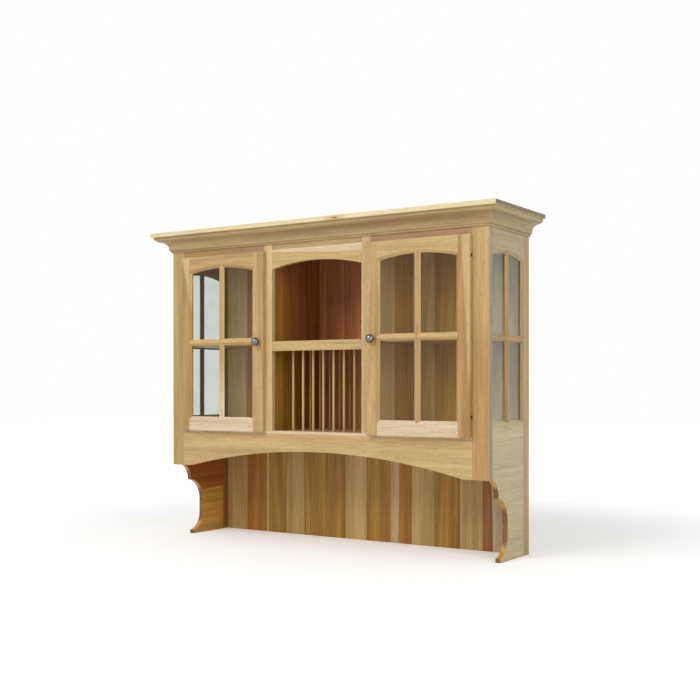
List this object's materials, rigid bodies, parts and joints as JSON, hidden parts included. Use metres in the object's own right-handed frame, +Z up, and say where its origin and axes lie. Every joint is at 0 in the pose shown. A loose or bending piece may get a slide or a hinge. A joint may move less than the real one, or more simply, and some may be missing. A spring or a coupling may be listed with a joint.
{
  "type": "step back cupboard",
  "caption": "Upper case of a wooden step back cupboard with arched glazed doors and sides, an open arched niche over a plate rack, bracket sides and a mitred crown.",
  "frame": {"origin": "middle of the footprint of the top board, on the counter that the sides stand on", "axes": "+X to the viewer's right along the width, +Y from the front to the back, +Z up; the front faces -Y"},
  "size_m": [1.586, 0.422, 1.264],
  "materials": {
    "case_wood": "satin",
    "door_wood": "satin",
    "crown_wood": "satin",
    "back_wood": "satin",
    "glass": "gloss",
    "knob_metal": "polished",
    "hinge_metal": "satin",
    "catch_metal": "satin"
  },
  "bodies": {
    "case": {"apron": "case_wood", "bottom_shelf": "case_wood", "case_top": "case_wood", "crown_front": "crown_wood", "door_catches": "catch_metal", "front_dowels": "case_wood", "hinge_frame_leaves": "hinge_metal", "left_back_boards": "back_wood", "left_crown": "crown_wood", "left_mullion": "case_wood", "left_partition": "case_wood", "left_shelf": "case_wood", "left_side_front_stile": "case_wood", "left_side_glass": "glass", "left_side_glass_bead": "case_wood", "left_side_muntins": "case_wood", "left_side_panel": "case_wood", "left_side_rear_stile": "case_wood", "left_side_top_rail": "case_wood", "left_stile": "case_wood", "left_top_rail": "case_wood", "niche_arch_rail": "case_wood", "niche_back_boards": "back_wood", "niche_shelf": "case_wood", "niche_top_rail": "case_wood", "rear_dowels": "case_wood", "right_back_boards": "back_wood", "right_crown": "crown_wood", "right_mullion": "case_wood", "right_partition": "case_wood", "right_shelf": "case_wood", "right_side_front_stile": "case_wood", "right_side_glass": "glass", "right_side_glass_bead": "case_wood", "right_side_muntins": "case_wood", "right_side_panel": "case_wood", "right_side_rear_stile": "case_wood", "right_side_top_rail": "case_wood", "right_stile": "case_wood", "right_top_rail": "case_wood", "shelf_rail": "case_wood", "top_board": "crown_wood"},
    "left_door": {"left_door_bottom_rail": "door_wood", "left_door_glass": "glass", "left_door_glass_bead": "door_wood", "left_door_hardware": "knob_metal", "left_door_hinge_stile": "door_wood", "left_door_latch_stile": "door_wood", "left_door_muntins": "door_wood", "left_door_top_rail": "door_wood"},
    "right_door": {"right_door_bottom_rail": "door_wood", "right_door_glass": "glass", "right_door_glass_bead": "door_wood", "right_door_hardware": "knob_metal", "right_door_hinge_stile": "door_wood", "right_door_latch_stile": "door_wood", "right_door_muntins": "door_wood", "right_door_top_rail": "door_wood"}
  },
  "joints": [
    {"name": "left_door_hinge", "type": "hinge", "parent": "case", "child": "left_door", "pos_m": [-0.6671, -0.145, 0.8035], "axis": [0, 0, -1], "range_deg": [0, 110]},
    {"name": "right_door_hinge", "type": "hinge", "parent": "case", "child": "right_door", "pos_m": [0.6671, -0.145, 0.8035], "axis": [0, 0, 1], "range_deg": [0, 110]}
  ]
}
